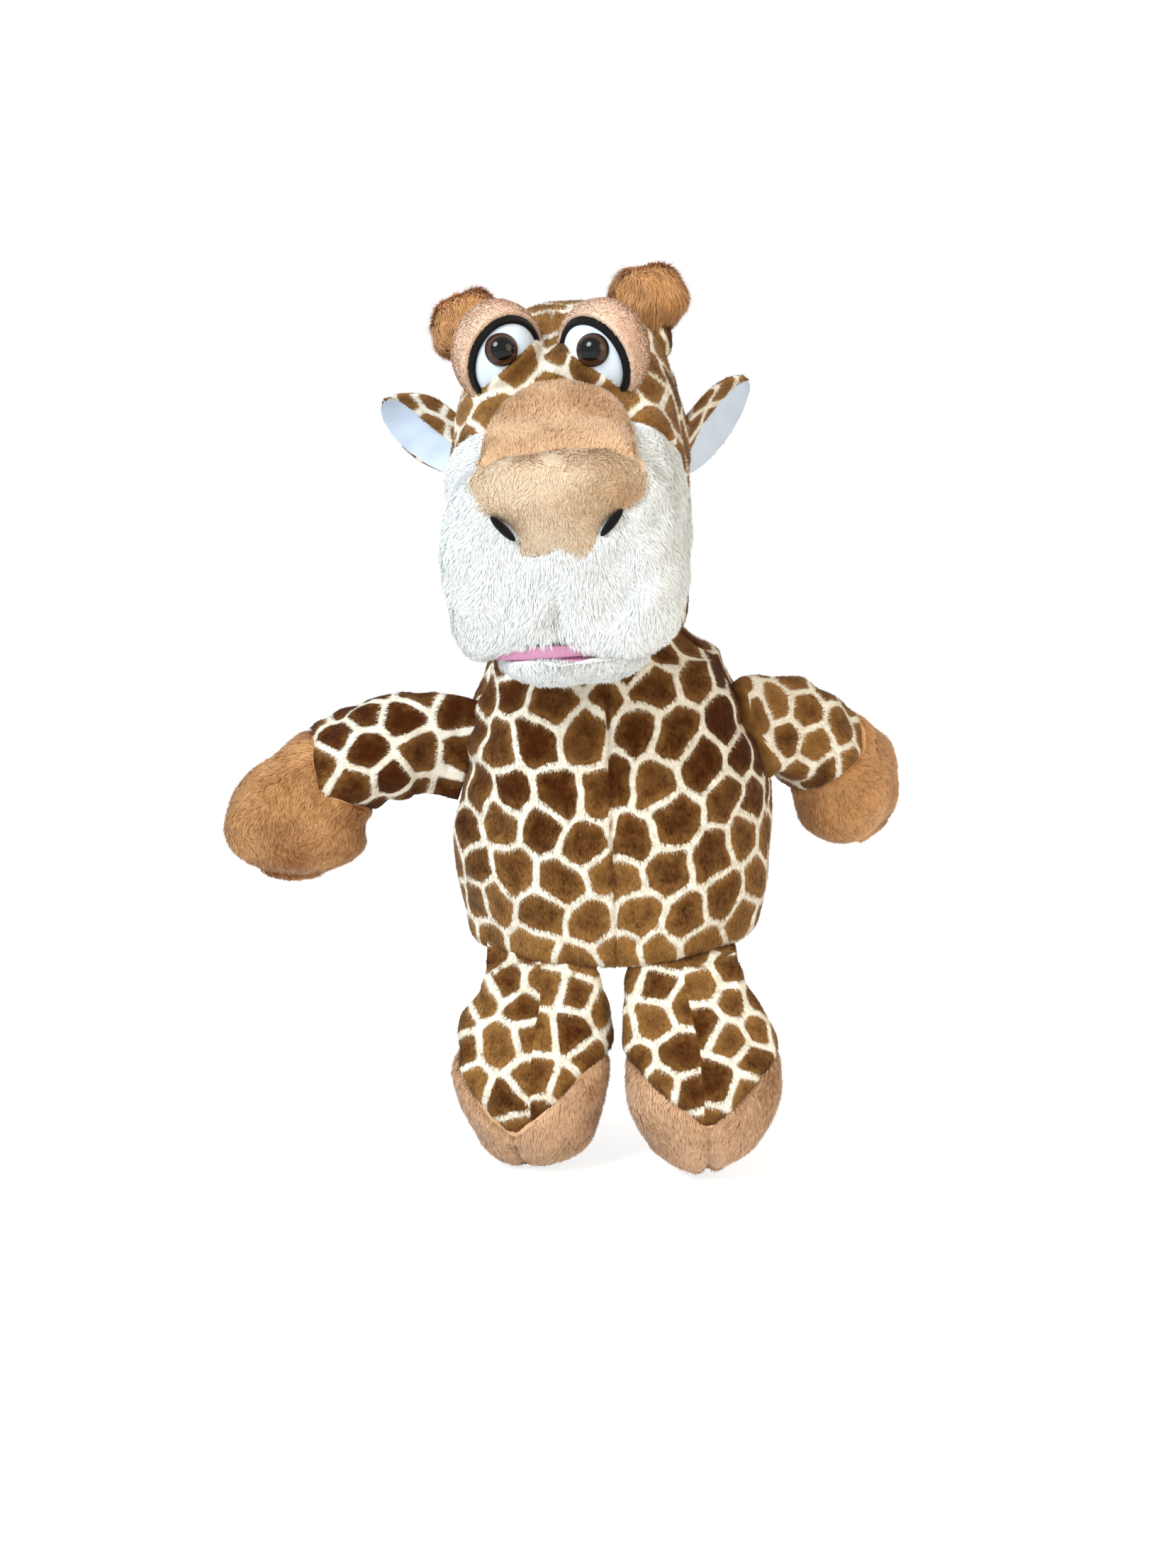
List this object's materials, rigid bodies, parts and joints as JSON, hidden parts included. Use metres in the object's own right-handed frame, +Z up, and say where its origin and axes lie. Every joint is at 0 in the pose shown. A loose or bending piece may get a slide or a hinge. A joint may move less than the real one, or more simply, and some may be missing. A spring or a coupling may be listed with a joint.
{
  "type": "giraffe hand puppet",
  "caption": "Plush giraffe glove puppet with a printed body, a big white muzzle that opens, floppy ears and horns, and stuffed arms and legs with tan hooves.",
  "frame": {"origin": "middle of the hand opening in the hem under the body", "axes": "+Z up from the hem to the horns, -Y out of the face, +X toward the right of the picture"},
  "size_m": [0.3027, 0.1948, 0.3881],
  "materials": {
    "print_plush": "short printed pile, brown patches with cream lines",
    "white_pile": "long soft pile",
    "tan_plush": "short brushed pile",
    "peach_plush": "short brushed pile",
    "lid_towelling": "looped towelling",
    "eye_white_cloth": "smooth knit",
    "eye_plastic": "glossy dome with a brown iris ring",
    "washer_plastic": "plain",
    "black_felt": "felt",
    "ear_satin": "smooth short pile",
    "pink_cloth": "knit",
    "mouth_board": "stiff sheet",
    "lining_cloth": "woven lining",
    "fibre_filling": "loose fibre"
  },
  "bodies": {
    "torso": {"body_front_left": "print_plush", "body_front_right": "print_plush", "body_back": "print_plush", "body_padding": "fibre_filling", "hand_lining": "lining_cloth", "hem_band": "print_plush"},
    "horn_left": {"horn_stem_left": "print_plush", "horn_knob_left": "tan_plush"},
    "horn_right": {"horn_stem_right": "print_plush", "horn_knob_right": "tan_plush"},
    "head": {"muzzle_cover": "white_pile", "head_cover": "print_plush", "upper_mouth_lining": "pink_cloth", "upper_mouth_board": "mouth_board", "finger_pocket": "lining_cloth", "head_stuffing": "fibre_filling", "nose_pad": "peach_plush", "nostril_left": "black_felt", "nostril_right": "black_felt", "eyeball_left": "eye_white_cloth", "safety_eye_left": "eye_plastic", "eye_washer_left": "washer_plastic", "eyelid_left": "lid_towelling", "lash_left": "black_felt", "eyeball_right": "eye_white_cloth", "safety_eye_right": "eye_plastic", "eye_washer_right": "washer_plastic", "eyelid_right": "lid_towelling", "lash_right": "black_felt", "bridge_panel": "tan_plush"},
    "ear_left": {"ear_outer_left": "print_plush", "ear_lining_left": "ear_satin"},
    "ear_right": {"ear_outer_right": "print_plush", "ear_lining_right": "ear_satin"},
    "jaw": {"jaw_cover": "white_pile", "lower_mouth_lining": "pink_cloth", "lower_mouth_board": "mouth_board", "thumb_pocket": "lining_cloth"},
    "neck": {"neck_cover": "print_plush", "neck_lining": "lining_cloth"},
    "arm_left": {"arm_sleeve_left": "print_plush", "arm_hoof_left": "tan_plush", "arm_stuffing_left": "fibre_filling"},
    "arm_right": {"arm_sleeve_right": "print_plush", "arm_hoof_right": "tan_plush", "arm_stuffing_right": "fibre_filling"},
    "leg_left": {"leg_sleeve_left": "print_plush", "leg_hoof_left": "tan_plush", "leg_stuffing_left": "fibre_filling"},
    "leg_right": {"leg_sleeve_right": "print_plush", "leg_hoof_right": "tan_plush", "leg_stuffing_right": "fibre_filling"}
  },
  "joints": [
    {"name": "head_turn", "type": "hinge", "parent": "torso", "child": "neck", "pos_m": [-0.00545, 0, 0.12488], "axis": [-0.0436, 0, 0.999], "range_deg": [-38, 38], "stiffness_Nm_per_rad": 1.2},
    {"name": "head_nod", "type": "hinge", "parent": "neck", "child": "head", "pos_m": [-0.01404, 0, 0.14953], "axis": [-0.9957, 0.0697, -0.0609], "range_deg": [-3, 25], "stiffness_Nm_per_rad": 1.5},
    {"name": "mouth_open", "type": "hinge", "parent": "head", "child": "jaw", "pos_m": [-0.01679, -0.04989, 0.1374], "axis": [0.9957, -0.0697, 0.0609], "range_deg": [0, 30], "stiffness_Nm_per_rad": 0.3},
    {"name": "arm_swing_left", "type": "hinge", "parent": "torso", "child": "arm_left", "pos_m": [-0.07133, -0.008, 0.08626], "axis": [-0.284, 0, -0.9588], "range_deg": [-70, 60], "stiffness_Nm_per_rad": 0.2},
    {"name": "arm_swing_right", "type": "hinge", "parent": "torso", "child": "arm_right", "pos_m": [0.06224, -0.008, 0.09609], "axis": [-0.3665, 0, 0.9304], "range_deg": [-135, 5], "stiffness_Nm_per_rad": 0.2},
    {"name": "leg_swing_left", "type": "hinge", "parent": "torso", "child": "leg_left", "pos_m": [-0.03276, -0.04331, -0.00619], "axis": [-0.999, 0, -0.0436], "range_deg": [-10, 85], "stiffness_Nm_per_rad": 0.15},
    {"name": "leg_swing_right", "type": "hinge", "parent": "torso", "child": "leg_right", "pos_m": [0.02818, -0.04331, -0.00352], "axis": [-0.999, 0, -0.0436], "range_deg": [-20, 70], "stiffness_Nm_per_rad": 0.15},
    {"name": "ear_flop_left", "type": "hinge", "parent": "head", "child": "ear_left", "pos_m": [-0.06613, 0.00545, 0.21246], "axis": [0.3794, -0.6457, 0.6627], "range_deg": [0, 30], "stiffness_Nm_per_rad": 0.03},
    {"name": "ear_flop_right", "type": "hinge", "parent": "head", "child": "ear_right", "pos_m": [0.03059, -0.00131, 0.21337], "axis": [0.2838, 0.7844, -0.5515], "range_deg": [0, 30], "stiffness_Nm_per_rad": 0.03},
    {"name": "horn_bend_left", "type": "hinge", "parent": "head", "child": "horn_left", "pos_m": [-0.0585, 0.03086, 0.25148], "axis": [0.2447, 0.8926, -0.3787], "range_deg": [-12, 12], "stiffness_Nm_per_rad": 0.06},
    {"name": "horn_bend_right", "type": "hinge", "parent": "head", "child": "horn_right", "pos_m": [0.01537, 0.02233, 0.26078], "axis": [-0.0774, -0.9948, 0.0663], "range_deg": [-12, 0], "stiffness_Nm_per_rad": 0.06}
  ]
}
